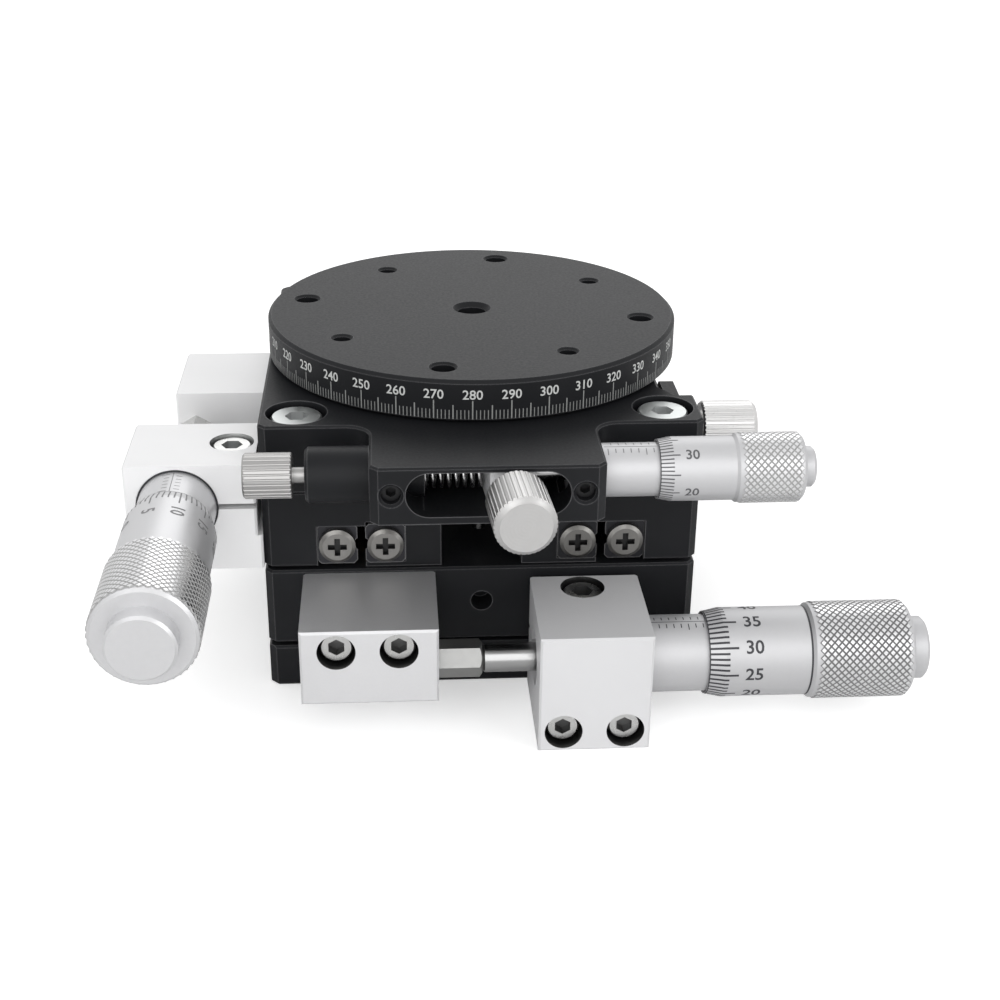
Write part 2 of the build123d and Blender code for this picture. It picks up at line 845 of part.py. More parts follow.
def nose_outline():
    """Plan of the nose: straight sides that run into the body with concave rounds."""
    y0 = -half
    r = nose_fillet
    c = nose_chamfer
    with BuildSketch() as plan:
        with BuildLine():
            Polyline((-nose_half - r, y0 + 2), (-nose_half - r, y0))
            RadiusArc((-nose_half - r, y0), (-nose_half, y0 - r), r)
            Polyline((-nose_half, y0 - r), (-nose_half, nose_front + c), (-nose_half + c, nose_front),
                     (nose_half - c, nose_front), (nose_half, nose_front + c), (nose_half, y0 - r))
            RadiusArc((nose_half, y0 - r), (nose_half + r, y0), r)
            Polyline((nose_half + r, y0), (nose_half + r, y0 + 2), (-nose_half - r, y0 + 2))
        make_face()
    return plan.sketch


def set_screw_seats():
    return [(x, fine_axis_y - housing_stem - contact_gap, fine_axis_z) for x in (-set_screw_x, set_screw_x)]


def side_pocket():
    """The cut in the right side between the two ears, with slanted corners."""
    c = side_cut_corner
    out = half + corner
    slant = side_cut + c * 0.66
    plan = Polyline((side_cut, c - side_cut_half), (slant, -side_cut_half), (out, -side_cut_half),
                    (out, side_cut_half), (slant, side_cut_half), (side_cut, side_cut_half - c), close=True)
    return Pos(0, 0, y_table_top - 1) * extrude(make_face(plan), rotary_top - y_table_top + 2)


def rotary_base_body():
    body = box(-half, half, -half, half, y_table_top, rotary_top)
    body = chamfer(body.edges().filter_by(Axis.Z), corner)
    body += Pos(0, 0, nose_bottom) * extrude(nose_outline(), rotary_top - nose_bottom)
    body -= side_pocket()
    rims = body.edges().filter_by_position(Axis.Z, rotary_top - 0.01, rotary_top + 0.01)
    body = chamfer(rims, fine_edge)
    pocket = Pos(0, 0, pocket_floor) * Cylinder(pocket_radius, table_top - pocket_floor, align=upward)
    post = turned([(0, pocket_floor - 0.5), (post_shoulder, pocket_floor - 0.5),
                   (post_shoulder, bearing_bottom),
                   (post_radius, bearing_bottom), (post_radius, bearing_top - 0.1), (0, bearing_top - 0.1)])
    body = body - pocket + post
    mid = (slot_bottom + slot_top) / 2
    slot = Plane(origin=(0, nose_front - 1, mid), x_dir=(1, 0, 0), z_dir=(0, 1, 0)) * extrude(
        SlotOverall(2 * slot_half, slot_top - slot_bottom), slot_depth + 1)
    body -= slot
    inside_pocket = Pos(0, 0, rotary_top) * Cylinder(pocket_radius - 1, 2 * (rotary_top - pocket_floor))
    channel = box(-channel_half, channel_half, nose_front + slot_mouth, channel_back, slot_bottom, slot_top)
    body -= channel - inside_pocket
    right = nose_half + 1
    body -= rod((right, fine_axis_y, fine_axis_z), (-1, 0, 0), right - slot_half + 1,
                fine_head.stem + tap_fit)
    body -= rod((-right, fine_axis_y, fine_axis_z), (1, 0, 0), right + housing_end + 0.5,
                housing_stem + tap_fit)
    for x, y, z in set_screw_seats():
        body -= rod((x, y, z), (0, -1, 0), y - nose_front + 1, set_screw_radius + tap_fit)
        mouth = Cone(set_screw_radius + tap_fit, set_screw_radius + 0.4, 0.4)
        body -= Plane(origin=(x, nose_front, z), z_dir=(0, -1, 0)) * Pos(0, 0, -0.2) * mouth
    body -= ear_screw_holes()
    body -= rod((0, 0, bearing_top), (0, 0, -1), retainer_stem_length + 0.5, retainer_stem + tap_fit)
    return body


def set_screws():
    screws = []
    for x, y, z in set_screw_seats():
        body = turned([(0, 0), (set_screw_radius - 0.3, 0), (set_screw_radius, 0.3),
                       (set_screw_radius, set_screw_length), (0, set_screw_length)])
        body -= Pos(0, 0, set_screw_length - set_screw_socket) * extrude(RegularPolygon(0.72, 6), 2)
        screws.append(Plane(origin=(x, y, z), z_dir=(0, -1, 0)) * body)
    return screws


# Bearing and table

def race_groove():
    """The diamond ring that the crossed rollers run in."""
    reach = roller / math.sqrt(2) + roller_fit * math.sqrt(2)
    mid = (bearing_bottom + bearing_top) / 2
    r = bearing_pitch_radius
    return turned([(r - reach, mid), (r, mid - reach), (r + reach, mid), (r, mid + reach)])


def race(inner, outer):
    ring = turned([(inner, bearing_bottom), (outer, bearing_bottom), (outer, bearing_top),
                   (inner, bearing_top)])
    return ring - race_groove()


def bearing_inner_race():
    return race(post_radius + 0.01, bearing_pitch_radius - bearing_race_gap / 2)


def bearing_outer_race():
    return race(bearing_pitch_radius + bearing_race_gap / 2, bearing_outer)


def bearing_roller_set():
    mid = (bearing_bottom + bearing_top) / 2
    one = Cylinder(roller / 2 - 0.03, roller - 0.16)
    step = 360 / bearing_roller_count
    return [Rot(0, 0, k * step) * Pos(bearing_pitch_radius, 0, mid) * Rot(0, 45 if k % 2 else -45, 0) * one
            for k in range(bearing_roller_count)]


def bearing_retainer_cap():
    top = bearing_top + retainer_thickness
    low = bearing_top - retainer_stem_length
    cap = turned([(0, low), (retainer_stem, low), (retainer_stem, bearing_top),
                  (post_shoulder, bearing_top), (post_shoulder, top - 0.3), (post_shoulder - 0.3, top),
                  (0, top)])
    return cap - Pos(0, 0, top - 0.5) * extrude(RegularPolygon(2.0, 6), 2)


def table_holes():
    cut = []
    for radius, tap, offset in ((m4_circle, m4_tap, 180), (m3_circle, m3_tap, 225)):
        for k in range(4):
            place = Rot(0, 0, table_turn + offset + 90 * k) * Pos(radius, 0, 0)
            cut.append(rod((0, 0, rotary_top), (0, 0, 1), table_top - rotary_top + 1, tap).moved(place))
            cut.append(place * Pos(0, 0, table_top - hole_chamfer / 2) * Cone(tap, tap + hole_chamfer,
                                                                              hole_chamfer))
    cut.append(Pos(0, 0, table_top - centre_depth) * Cylinder(centre_hole, centre_depth + 1,
                                                             align=upward))
    cut.append(Pos(0, 0, table_top - 0.35) * Cone(centre_hole, centre_hole + 0.7, 0.7))
    return cut


def rotary_table_body():
    low = rotary_top + table_gap
    body = turned([(spigot_lip, bearing_top), (bearing_outer + 0.01, bearing_top),
                   (bearing_outer + 0.01, spigot_bottom),
                   (spigot_outer, spigot_bottom), (spigot_outer, low), (table_radius - 0.3, low),
                   (table_radius, low + 0.3), (table_radius, table_top - table_chamfer),
                   (table_radius - table_chamfer, table_top), (0, table_top), (0, low + 0.9),
                   (spigot_lip, low + 0.9)])
    return body - table_holes()


# Clamp ring, arm and screw, drawn towards -Y and then turned by arm_rest

def turned_arm(shape):
    return Rot(0, 0, arm_rest) * shape


def clamp_ring_body():
    ring = turned([(spigot_outer + ring_fit, ring_bottom), (ring_outer, ring_bottom),
                   (ring_outer, ring_top),
                   (spigot_outer + ring_fit, ring_top)])
    ring -= box(-ring_outer, ring_outer, -ring_outer - 1, arm_seat, ring_bottom - 1, ring_top + 1)
    ring -= rod((0, 0, fine_axis_z), (0, -1, 0), 2 * ring_outer, arm_bore)
    return turned_arm(ring)


def tangent_arm_body():
    arm = box(-arm_width / 2, arm_width / 2, arm_front, arm_seat, arm_bottom, arm_top)
    ends = arm.edges().filter_by(Axis.Z).filter_by_position(Axis.Y, arm_front - 0.1, arm_front + 0.1)
    arm = chamfer(ends, 0.4)
    arm -= rod((0, 0, fine_axis_z), (0, -1, 0), 1 - arm_front, arm_bore)
    arm -= rod((0, arm_front + 2, fine_axis_z), (0, -1, 0), 5, arm_mouth)
    return turned_arm(arm)


shoe_back = -(spigot_outer + 0.08)


def clamp_shoe_body():
    shoe = rod((0, shoe_back, fine_axis_z), (0, -1, 0), shoe_length, clamp_rod)
    return turned_arm(shoe - Cylinder(spigot_outer + 0.08, 2 * rotary_top + 2))


def clamp_screw_knob():
    start = (0, clamp_knob_back, fine_axis_z)
    tip = shoe_back - shoe_length - 0.1
    screw = thumb_screw(large_knob_radius, large_knob_length, large_knob_bevel, clamp_rod,
                        tip - clamp_knob_back, 2.0,
                        arm_front - clamp_knob_back + 1.2)
    return turned_arm(Plane(origin=start, x_dir=(1, 0, 0), z_dir=(0, -1, 0)) * screw)


# Spring plunger and lock screw

def spring_housing_body():
    left = -nose_half - housing_out
    edge = 0.4
    stem = spring_seat - left
    body = turned([(0, 0), (housing_radius - edge, 0), (housing_radius, edge),
                   (housing_radius, housing_out),
                   (housing_stem, housing_out), (housing_stem, housing_end - left),
                   (housing_bore, housing_end - left),
                   (housing_bore, stem), (0, stem)])
    body -= Cylinder(lock_rod + tap_fit, 2 * (stem + nose_half))
    return Plane(origin=(left, fine_axis_y, fine_axis_z), x_dir=(0, 1, 0), z_dir=(1, 0, 0)) * body


def lock_screw_body():
    """The small fluted screw that stops the plunger, with its knob to the left of the housing."""
    back = -nose_half - housing_out - lock_neck
    reach = spring_seat + 2.6 - back
    screw = thumb_screw(small_knob_radius, small_knob_length, small_knob_bevel, lock_rod, reach, lock_rod,
                        lock_neck)
    return Plane(origin=(back, fine_axis_y, fine_axis_z), x_dir=(0, 1, 0), z_dir=(-1, 0, 0)) * screw


def plunger_spring():
    turn = math.radians(arm_rest)
    end = arm_side_x() - arm_width / math.cos(turn) - spring_outer * math.tan(turn) - contact_gap
    coil = coil_spring(spring_outer, spring_wire, spring_coils, end - spring_seat - contact_gap)
    return Pos(spring_seat + contact_gap, fine_axis_y, fine_axis_z) * Rot(0, 90, 0) * coil


def build():
    """All nodes by name."""
    nodes = {
        "base_plate": base_plate(),
        "x_inner_rails": [along_x(r) for r in inner_rails()],
        "x_inner_end_screws": [along_x(s) for s in end_screws(inner_rail_x)],
        "x_micrometer_block": micrometer_block_x(),
        "x_block_screws": [block_screw.body(s, (0, 1, 0), block_screw_length())
                           for s in block_screw_seats()],
        "x_clamp_screw": clamp_screw.body(clamp_screw_seat_x(), (0, 0, -1), clamp_screw_length),
        "x_sleeve": x_head_plane * head_sleeve(x_head),
        "x_spindle": x_head_plane * head_spindle(x_head),
        "x_thimble": x_head_plane * head_thimble(x_head),
        "x_thimble_cap": x_head_plane * head_cap(x_head),
        "x_cage_strips": [along_x(c) for c in cage_strips()],
        "x_rollers": [along_x(r) for r in roller_rows()],
        "x_return_spring": along_x(return_spring()),
        "x_base_spring_pin": along_x(lower_pin()),
        "x_lock_plate": to_back(lock_plate_body(*x_lock_seat, x_lock_z + lock_plate_above, x_lock_z)),
        "x_lock_plate_screws": [to_back(small_screw.body(s, (-1, 0, 0), small_screw_length))
                                for s in lock_plate_seats(x_lock_seat)],
        "x_lock_knob": Pos(0, 0, x_lock_z) * to_back(lock_knob()),
        "x_table": x_table_plate(),
        "x_outer_rails": [along_x(r) for r in outer_rails()],
        "x_table_end_screws": [along_x(s) for s in end_screws(outer_rail_x)] + end_screws(inner_rail_x),
        "x_anvil_block": anvil_block_x(),
        "x_anvil_pin": x_anvil_plane * anvil_pin(x_anvil_pin_out, anvil_tail),
        "x_anvil_screws": [block_screw.body(s, (0, 1, 0), x_anvil_screw_length()) for s in x_anvil_seats()],
        "x_table_spring_pins": [along_x(upper_pin()), lower_pin()],
        "y_inner_rails": inner_rails(),
        "y_anvil_block": anvil_block_y(),
        "y_anvil_pin": y_anvil_plane * anvil_pin(y_anvil_pin_out, anvil_tail),
        "y_anvil_screws": [block_screw.body(s, (1, 0, 0), y_anvil_screw_length()) for s in y_anvil_seats()],
        "y_lock_plate": lock_plate_body(*y_lock_seat, y_lock_z + lock_plate_above, y_lock_z),
        "y_lock_plate_screws": [small_screw.body(s, (-1, 0, 0), small_screw_length)
                                for s in lock_plate_seats(y_lock_seat)],
        "y_lock_knob": Pos(0, 0, y_lock_z) * lock_knob(),
        "y_cage_strips": cage_strips(),
        "y_rollers": roller_rows(),
        "y_return_spring": return_spring(),
        "y_table": y_table_plate(),
        "y_outer_rails": outer_rails(),
        "y_outer_end_screws": end_screws(outer_rail_x),
        "y_table_spring_pin": upper_pin(),
        "y_micrometer_block": micrometer_block_y(),
        "y_block_screws": [block_screw.body(s, (1, 0, 0), y_block_screw_length()) for s in y_block_seats()],
        "y_clamp_screw": clamp_screw.body(clamp_screw_seat_y(), (0, 0, -1), clamp_screw_length),
        "y_sleeve": y_head_plane * head_sleeve(y_head),
        "y_spindle": y_head_plane * head_spindle(y_head),
        "y_thimble": y_head_plane * head_thimble(y_head),
        "y_thimble_cap": y_head_plane * head_cap(y_head),
        "rotary_base": rotary_base_body(),
        "rotary_base_screws": [ear_screw_size.body(s, (0, 0, -1), ear_screw_length) for s in ear_seats()],
        "nose_set_screws": set_screws(),
        "spring_housing": spring_housing_body(),
        "plunger_spring": plunger_spring(),
        "plunger_lock_screw": lock_screw_body(),
        "fine_sleeve": fine_head_plane * head_sleeve(fine_head),
        "fine_spindle": fine_head_plane * head_spindle(fine_head),
        "fine_thimble": fine_head_plane * head_thimble(fine_head),
        "fine_thimble_cap": fine_head_plane * head_cap(fine_head),
        "bearing_inner_ring": [bearing_inner_race(), bearing_retainer_cap()],
        "bearing_rollers": bearing_roller_set(),
        "rotary_table": [rotary_table_body(), bearing_outer_race()],
        "clamp_ring": [clamp_ring_body(), tangent_arm_body(), clamp_shoe_body()],
        "clamp_knob": clamp_screw_knob(),
    }
    return nodes


def flat_solids(shape):
    """The solids of a shape or of a list of shapes."""
    if isinstance(shape, (list, tuple)):
        return [solid for piece in shape for solid in flat_solids(piece)]
    return list(shape.solids())


os.makedirs("parts", exist_ok=True)
for name, shape in build().items():
    solids = flat_solids(shape)
    export_step(solids[0] if len(solids) == 1 else Compound(children=solids), f"parts/{name}.step")
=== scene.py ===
"""Looks of the manual X, Y and rotation stage: materials, knurls, scales, numbers, spring, light and camera.

Lengths are written in millimetres and turned into metres by mm. The frame is the model's own:
+Z up, -Y towards the nose with the fine micrometer, origin under the middle of the foot.
"""
import math

import bmesh
import bpy
from mathutils import Matrix, Vector


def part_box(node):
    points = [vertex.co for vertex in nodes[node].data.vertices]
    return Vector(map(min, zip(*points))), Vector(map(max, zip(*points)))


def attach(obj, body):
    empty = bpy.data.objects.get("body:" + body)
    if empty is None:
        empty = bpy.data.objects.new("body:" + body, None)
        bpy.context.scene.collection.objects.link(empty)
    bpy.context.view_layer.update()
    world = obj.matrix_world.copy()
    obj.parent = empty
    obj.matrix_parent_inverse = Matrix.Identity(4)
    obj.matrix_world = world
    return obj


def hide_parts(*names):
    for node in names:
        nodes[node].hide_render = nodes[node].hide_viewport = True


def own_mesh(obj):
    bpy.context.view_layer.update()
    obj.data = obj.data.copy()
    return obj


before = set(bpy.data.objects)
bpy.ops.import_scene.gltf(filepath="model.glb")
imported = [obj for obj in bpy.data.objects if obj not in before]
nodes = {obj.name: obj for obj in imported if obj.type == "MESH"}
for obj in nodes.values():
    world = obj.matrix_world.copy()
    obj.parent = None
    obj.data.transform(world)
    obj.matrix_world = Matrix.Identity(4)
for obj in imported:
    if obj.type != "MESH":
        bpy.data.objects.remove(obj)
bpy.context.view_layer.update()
mm = 0.001

# Sizes that the model sets
table_radius = 30.0
table_low = 40.3
x_axis_y = -39.8
x_axis_z = 9.7
y_axis_x = -41.2
y_axis_z = 28.45
fine_axis_y = -37.0
fine_axis_z = 36.15
x_block_face = 21.65
y_block_face = -30.0
nose_side = 15.1
arm_rest = 4.3
x_lock_z = 13.1
y_lock_z = 26.4
ear_at = 25.0
end_screws_at = (13.3, 19.9)
end_screw_out = 30.35

# Large heads, the same for X and Y, and the fine head: radii
large_sleeve = 5.25
large_bevel = 5.62
large_thimble = 6.1
large_knurl = 6.66
fine_sleeve = 3.55
fine_bevel = 3.92
fine_thimble = 4.25
fine_knurl = 4.68

# Where each thimble starts, from the face of its block or of the nose
x_thimble_at = 8.1
y_thimble_at = 6.8
fine_thimble_at = 7.3

# Scale of the rotary table
table_turn = -12.6
tick_low = 0.35
number_up = 3.75
number_size = 1.85

# How far marks lie above the face that carries them
lift = 0.012


# Materials

def nodes_of(name):
    """A new material with its node tree and its principled shader."""
    material = bpy.data.materials.new(name)
    material.use_nodes = True
    tree = material.node_tree
    return material, tree, tree.nodes["Principled BSDF"]


def add(tree, kind, **inputs):
    """A node of that kind with its inputs set by name."""
    node = tree.nodes.new(kind)
    for key, value in inputs.items():
        node.inputs[key.replace("_", " ")].default_value = value
    return node


def object_noise(tree, scale, detail=4.0):
    """Noise in object space."""
    where = tree.nodes.new("ShaderNodeTexCoord")
    noise = add(tree, "ShaderNodeTexNoise", Scale=scale, Detail=detail, Roughness=0.6)
    tree.links.new(where.outputs["Object"], noise.inputs["Vector"])
    return noise


def ramp(tree, source, low, high, at_low=0.3, at_high=0.7):
    """A colour ramp from low to high driven by source."""
    node = tree.nodes.new("ShaderNodeValToRGB")
    node.color_ramp.elements[0].position = at_low
    node.color_ramp.elements[1].position = at_high
    node.color_ramp.elements[0].color = low
    node.color_ramp.elements[1].color = high
    tree.links.new(source, node.inputs["Fac"])
    return node


def grey(value):
    """A grey of that value, opaque."""
    return (value, value, value, 1.0)


def worn_edges(tree, tone, edge):
    """Painted highlight: goes from a tone to the lighter colour of edge where a face meets another, as if the
    edges caught the light.
    """
    edge_width = 0.3
    rounded = add(tree, "ShaderNodeBevel", Radius=edge_width * mm)
    rounded.samples = 6
    flat = tree.nodes.new("ShaderNodeNewGeometry")
    agree = tree.nodes.new("ShaderNodeVectorMath")
    agree.operation = "DOT_PRODUCT"
    tree.links.new(rounded.outputs["Normal"], agree.inputs[0])
    tree.links.new(flat.outputs["Normal"], agree.inputs[1])
    amount = ramp(tree, agree.outputs["Value"], grey(1.0), grey(0.0), 0.8, 0.99)
    mix = tree.nodes.new("ShaderNodeMixRGB")
    mix.inputs["Color2"].default_value = tuple(edge) + (1.0,)
    tree.links.new(amount.outputs["Color"], mix.inputs["Fac"])
    tree.links.new(tone.outputs["Color"], mix.inputs["Color1"])
    return mix


def surface(name, colour, spread, rough, metallic, grain=900.0, bump=0.1, rough_spread=0.06,
            specular=0.5, edge=None):
    """A surface with a mottled colour, an uneven roughness and a fine grain in its normals, and, when edge is
    given, a painted highlight of that colour along its edges.
    """
    mottle = 60.0
    grain_depth = 0.02
    material, tree, shader = nodes_of(name)
    shader.inputs["Metallic"].default_value = metallic
    shader.inputs["Specular IOR Level"].default_value = specular
    broad = object_noise(tree, mottle)
    low = tuple(c * (1 - spread) for c in colour) + (1.0,)
    high = tuple(min(1.0, c * (1 + spread)) for c in colour) + (1.0,)
    tone = ramp(tree, broad.outputs["Fac"], low, high)
    if edge:
        tone = worn_edges(tree, tone, edge)
    tree.links.new(tone.outputs["Color"], shader.inputs["Base Color"])
    fine = object_noise(tree, grain, 6.0)
    levels = ramp(tree, fine.outputs["Fac"], grey(rough - rough_spread), grey(rough + rough_spread))
    tree.links.new(levels.outputs["Color"], shader.inputs["Roughness"])
    relief = add(tree, "ShaderNodeBump", Strength=bump, Distance=grain_depth * mm)
    tree.links.new(fine.outputs["Fac"], relief.inputs["Height"])
    tree.links.new(relief.outputs["Normal"], shader.inputs["Normal"])
    return material


def turned_face(name, colour, rough, centre, axis, pitch, metallic=1.0, bump=0.25):
    """Lathe-turned metal: rings about the axis through centre, pitch millimetres apart."""
    ring_depth = 0.01
    material, tree, shader = nodes_of(name)
    shader.inputs["Metallic"].default_value = metallic
    where = tree.nodes.new("ShaderNodeTexCoord")
    move = tree.nodes.new("ShaderNodeVectorMath")
    move.operation = "SUBTRACT"
    move.inputs[1].default_value = [c * mm for c in centre]
    tree.links.new(where.outputs["Object"], move.inputs[0])
    flat = tree.nodes.new("ShaderNodeVectorMath")
    flat.operation = "CROSS_PRODUCT"
    flat.inputs[1].default_value = axis
    tree.links.new(move.outputs[0], flat.inputs[0])
    far = tree.nodes.new("ShaderNodeVectorMath")
    far.operation = "LENGTH"
    tree.links.new(flat.outputs[0], far.inputs[0])
    wave = tree.nodes.new("ShaderNodeMath")
    wave.operation = "MULTIPLY"
    wave.inputs[1].default_value = 2 * math.pi / (pitch * mm)
    tree.links.new(far.outputs["Value"], wave.inputs[0])
    ring = tree.nodes.new("ShaderNodeMath")
    ring.operation = "SINE"
    tree.links.new(wave.outputs[0], ring.inputs[0])
    noise = object_noise(tree, 1500.0)
    both = tree.nodes.new("ShaderNodeMath")
    both.operation = "ADD"
    tree.links.new(ring.outputs[0], both.inputs[0])
    tree.links.new(noise.outputs["Fac"], both.inputs[1])
    relief = add(tree, "ShaderNodeBump", Strength=bump, Distance=ring_depth * mm)
    tree.links.new(both.outputs[0], relief.inputs["Height"])
    tree.links.new(relief.outputs["Normal"], shader.inputs["Normal"])
    tone = ramp(tree, noise.outputs["Fac"], tuple(c * 0.97 for c in colour) + (1,), tuple(colour) + (1,))
    tree.links.new(tone.outputs["Color"], shader.inputs["Base Color"])
    levels = ramp(tree, noise.outputs["Fac"], grey(rough - 0.03), grey(rough + 0.03))
    tree.links.new(levels.outputs["Color"], shader.inputs["Roughness"])
    return material


# The edge colours of black_anodised and rail_steel paint highlights along the edges of their parts.
black = surface("black_anodised", (0.0105, 0.011, 0.0125), 0.15, 0.44, 0.0, grain=2600.0, bump=0.12,
                specular=0.15, edge=(0.13, 0.13, 0.135))
satin = surface("satin_block", (0.64, 0.64, 0.65), 0.02, 0.42, 0.08, grain=2200.0, bump=0.08)
y_satin = surface("y_satin_block", (0.85, 0.85, 0.855), 0.02, 0.45, 0.15, grain=2200.0, bump=0.08)
anvil_satin = surface("anvil_block", (0.70, 0.70, 0.71), 0.02, 0.5, 0.75, grain=2200.0, bump=0.08)
pin_steel = surface("anvil_pin", (0.29, 0.29, 0.285), 0.05, 0.36, 0.9, grain=1800.0, bump=0.08)
spindle = surface("ground_steel", (0.36, 0.36, 0.36), 0.03, 0.22, 1.0, grain=1800.0, bump=0.02,
                  rough_spread=0.02)
rail = surface("rail_steel", (0.035, 0.035, 0.038), 0.15, 0.34, 1.0, grain=1200.0, bump=0.12,
               edge=(0.2, 0.2, 0.2))
roller = surface("roller_steel", (0.55, 0.55, 0.56), 0.05, 0.15, 1.0, grain=1500.0, bump=0.03)
nickel = surface("nickel_screw", (0.60, 0.60, 0.59), 0.05, 0.3, 1.0, grain=900.0, bump=0.1)
ear_screw = surface("ear_screw", (0.57, 0.59, 0.585), 0.06, 0.34, 1.0, grain=900.0, bump=0.1)
dull_screw = surface("end_screw", (0.21, 0.205, 0.195), 0.08, 0.36, 1.0, grain=900.0, bump=0.1)
black_screw = surface("black_screw", (0.012, 0.012, 0.013), 0.1, 0.4, 0.0, grain=900.0, bump=0.1,
                      specular=0.3)
# The next three colours paint the shade inside screw sockets, cross slots and counterbores.
painted_socket_shade = surface("screw_recess", (0.15, 0.15, 0.15), 0.3, 0.4, 0.9, grain=1500.0, bump=0.2)
painted_pale_socket_shade = surface("pale_screw_recess", (0.55, 0.56, 0.56), 0.2, 0.4, 0.9, grain=1500.0, bump=0.2)
painted_hole_shade = surface("counterbore", (0.03, 0.03, 0.03), 0.2, 0.4, 0.8, grain=1500.0, bump=0.1)
spring = surface("spring_wire", (0.6, 0.6, 0.6), 0.12, 0.28, 1.0, grain=700.0, bump=0.15)
brass = surface("cage_brass", (0.62, 0.45, 0.18), 0.1, 0.3, 1.0, grain=900.0, bump=0.1)
knurled = surface("knurled_chrome", (0.74, 0.74, 0.75), 0.02, 0.28, 1.0, grain=900.0, bump=0.05)
white_mark = surface("white_fill", (0.55, 0.56, 0.55), 0.05, 0.6, 0.0, grain=900.0, bump=0.1)
grey_mark = surface("scale_fill", (0.26, 0.265, 0.26), 0.1, 0.6, 0.0, grain=900.0, bump=0.1)
faint_mark = surface("faint_fill", (0.20, 0.20, 0.205), 0.1, 0.55, 0.0, grain=900.0, bump=0.1)
soft_mark = surface("soft_fill", (0.09, 0.09, 0.095), 0.1, 0.55, 0.0, grain=900.0, bump=0.1)
dark_mark = surface("dark_fill", (0.03, 0.03, 0.035), 0.1, 0.55, 0.0, grain=900.0, bump=0.1)
# Painted shade on the sides of the knurls' pyramids: darker on the X head, paler on the Y and fine heads.
painted_knurl_shade = surface("knurl_groove", (0.26, 0.26, 0.262), 0.1, 0.5, 0.4, grain=900.0, bump=0.1)
painted_pale_knurl_shade = surface("pale_knurl_groove", (0.42, 0.42, 0.42), 0.1, 0.5, 0.4, grain=900.0, bump=0.1)

x_head_axis = (0, x_axis_y, x_axis_z)
y_head_axis = (y_axis_x, 0, y_axis_z)
fine_head_axis = (0, fine_axis_y, fine_axis_z)
along_x = (1, 0, 0)
along_y = (0, 1, 0)
tilt = math.radians(arm_rest)
along_arm = (math.sin(tilt), -math.cos(tilt), 0)
clamp_face = turned_face("clamp_knob_steel", (0.55, 0.545, 0.54), 0.38, (0, 0, fine_axis_z), along_arm, 0.45)
x_lock_metal = turned_face("x_lock_steel", (0.68, 0.675, 0.67), 0.3, (0, 0, x_lock_z), along_y, 0.45)
y_lock_metal = turned_face("y_lock_steel", (0.68, 0.675, 0.67), 0.3, (0, 0, y_lock_z), along_x, 0.45)
small_knob = turned_face("plunger_lock_steel", (0.4, 0.395, 0.39), 0.42, fine_head_axis, along_x, 0.4)
x_metal = turned_face("x_head_chrome", (0.52, 0.52, 0.53), 0.48, x_head_axis, along_x, 0.3, 0.55, 0.05)
y_metal = turned_face("y_head_chrome", (0.62, 0.62, 0.63), 0.42, y_head_axis, along_y, 0.3, 0.7, 0.04)
fine_metal = turned_face("fine_head_chrome", (0.54, 0.54, 0.55), 0.48, fine_head_axis, along_x, 0.3,
                         0.6, 0.03)

looks = {
    "base_plate": black, "x_table": black, "y_table": black, "rotary_base": black, "rotary_table": black,
    "x_lock_plate": black, "y_lock_plate": black, "spring_housing": black, "clamp_ring": satin,
    "x_inner_rails": rail, "x_outer_rails": rail, "y_inner_rails": rail, "y_outer_rails": rail,
    "bearing_inner_ring": rail, "x_rollers": roller, "y_rollers": roller, "bearing_rollers": roller,
    "x_cage_strips": brass, "y_cage_strips": brass,
    "x_micrometer_block": satin, "x_anvil_block": anvil_satin,
    "y_micrometer_block": y_satin, "y_anvil_block": y_satin,
    "x_block_screws": nickel, "x_clamp_screw": nickel, "x_anvil_screws": nickel, "y_block_screws": nickel,
    "y_clamp_screw": nickel, "y_anvil_screws": nickel, "nose_set_screws": black_screw,
    "x_inner_end_screws": dull_screw, "x_table_end_screws": dull_screw, "y_outer_end_screws": dull_screw,
    "rotary_base_screws": ear_screw, "x_lock_plate_screws": nickel, "y_lock_plate_screws": nickel,
    "x_sleeve": x_metal, "x_thimble": x_metal, "x_thimble_cap": x_metal,
    "y_sleeve": y_metal, "y_thimble": y_metal, "y_thimble_cap": y_metal,
    "fine_sleeve": fine_metal, "fine_thimble": fine_metal, "fine_thimble_cap": fine_metal,
    "x_spindle": spindle, "y_spindle": spindle, "fine_spindle": spindle,
    # The Y anvil pin takes the lighter nickel colour where the X pin takes anvil_pin: painted light on a pin
    # that sits in shade.
    "x_anvil_pin": pin_steel, "y_anvil_pin": nickel,
    "x_base_spring_pin": spindle, "x_table_spring_pins": spindle, "y_table_spring_pin": spindle,
    "x_return_spring": spring, "y_return_spring": spring, "plunger_spring": spring,
    "x_lock_knob": x_lock_metal, "y_lock_knob": y_lock_metal, "plunger_lock_screw": small_knob,
    "clamp_knob": clamp_face,
}
for name, material in looks.items():
    shape = nodes[name].data
    shape.materials.clear()
    shape.materials.append(material)


# Recesses in the heads of the screws and the counterbores round them get painted shade: darker colours on the
# faces inside them.
# Each row has the node, the outward axis, the middle of each head or hole, and the radius about it that the
# tone covers.

def row_of(places, step):
    """The places moved by step: from the heads of some screws to the mouths of their counterbores."""
    return [tuple(a + b for a, b in zip(place, step)) for place in places]


